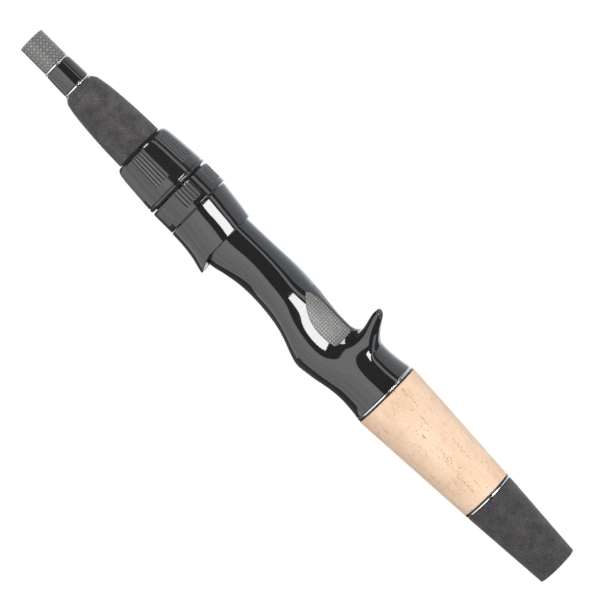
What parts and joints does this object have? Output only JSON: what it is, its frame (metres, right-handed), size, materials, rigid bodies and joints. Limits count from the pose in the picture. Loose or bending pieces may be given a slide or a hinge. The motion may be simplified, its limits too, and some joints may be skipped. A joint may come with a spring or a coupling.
{
  "type": "fishing rod handle",
  "caption": "Baitcasting rod handle: trigger reel seat with sliding hood and lock nuts, foam foregrip, cork rear grip with foam butt, on a hollow carbon blank.",
  "frame": {"origin": "centre of the butt's end face, on the blank's axis", "axes": "+X along the blank towards the rod tip; +Z the side the reel sits on, so the trigger points to -Z; +Y completes the right-handed frame, and the handle is symmetric across Y = 0"},
  "size_m": [0.2755, 0.028, 0.0409],
  "materials": {
    "carbon_blank": "woven carbon under a satin clear coat",
    "gloss_black": "high-gloss black lacquer",
    "satin_black": "satin black moulding with ribs",
    "foam": "closed-cell EVA foam, finely pored and matte",
    "cork": "sanded natural cork with dark pits",
    "silver": "polished anodised ring",
    "black_ring": "satin black ring",
    "carbon_inlay": "plain-weave carbon cloth under clear resin",
    "arbor": "wound fibre with resin",
    "nylon": "moulded nylon",
    "steel": "stamped spring steel"
  },
  "bodies": {
    "root": {"blank_tube": "carbon_blank", "butt_plug": "nylon", "front_arbor": "arbor", "middle_arbor": "arbor", "rear_arbor": "arbor", "seat_body": "gloss_black", "carbon_inlay_left": "carbon_inlay", "carbon_inlay_right": "carbon_inlay", "foregrip": "foam", "check_rear_ring": "silver", "check_barrel": "gloss_black", "check_front_ring": "silver", "seat_trim_ring": "silver", "seat_shim_ring": "black_ring", "cork_ring_1": "cork", "cork_ring_2": "cork", "cork_ring_3": "cork", "cork_ring_4": "cork", "grip_shim_ring": "black_ring", "grip_trim_ring": "silver", "rear_grip": "foam"},
    "hood": {"moving_hood": "gloss_black", "moving_hood_liner": "nylon"},
    "nut": {"hood_nut": "satin_black", "nut_retaining_ring": "steel", "nut_washer": "nylon"},
    "lock": {"lock_nut": "satin_black"}
  },
  "joints": [
    {"name": "hood_slide", "type": "slide", "parent": "root", "child": "hood", "axis": [-1, 0, 0], "range_m": [0, 0.01]},
    {"name": "nut_turn", "type": "hinge", "parent": "hood", "child": "nut", "pos_m": [0.193, 0, 0], "axis": [-1, 0, 0], "range_deg": [0, 1800]},
    {"name": "lock_nut_turn", "type": "hinge", "parent": "hood", "child": "lock", "pos_m": [0.2085, 0, 0], "axis": [-1, 0, 0], "range_deg": [0, 1800]}
  ],
  "couplings": [
    {"joint": "hood_slide", "follows": "nut_turn", "m_per_rad": 0.0003183},
    {"joint": "lock_nut_turn", "follows": "nut_turn", "ratio": 1}
  ]
}
